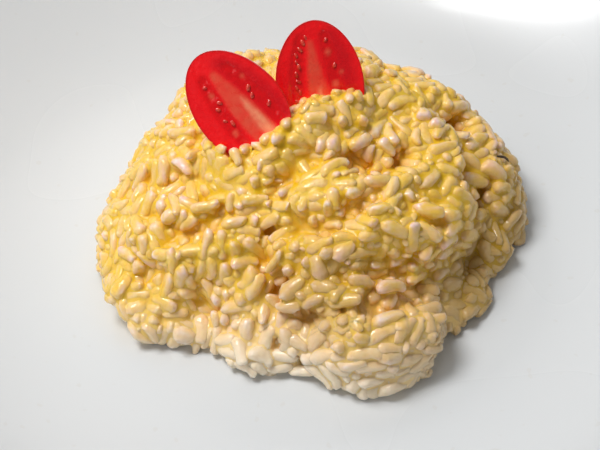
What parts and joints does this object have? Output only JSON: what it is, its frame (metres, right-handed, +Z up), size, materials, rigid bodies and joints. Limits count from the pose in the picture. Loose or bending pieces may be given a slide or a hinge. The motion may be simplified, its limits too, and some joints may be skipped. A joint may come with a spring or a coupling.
{
  "type": "bowl of cheese risotto",
  "caption": "Round uneven mound of creamy cheese risotto in a wide shallow white bowl, with small tomato halves standing in its top.",
  "frame": {"origin": "centre of the bowl's foot, on the surface that it stands on", "axes": "+Z up; the side that the eater sees, and that the tomato halves' cut faces look towards, is -Y"},
  "size_m": [0.2636, 0.2636, 0.0662],
  "materials": {
    "porcelain": "clear gloss glaze over white, with a bare foot ring",
    "risotto": "moist cooked rice grains in a glossy cheese sauce",
    "tomato": "glossy skin and wet cut flesh"
  },
  "bodies": {
    "root": {"bowl": "porcelain", "risotto_mound": "risotto", "tomato_half_right": "tomato", "tomato_half_left": "tomato"}
  },
  "joints": []
}
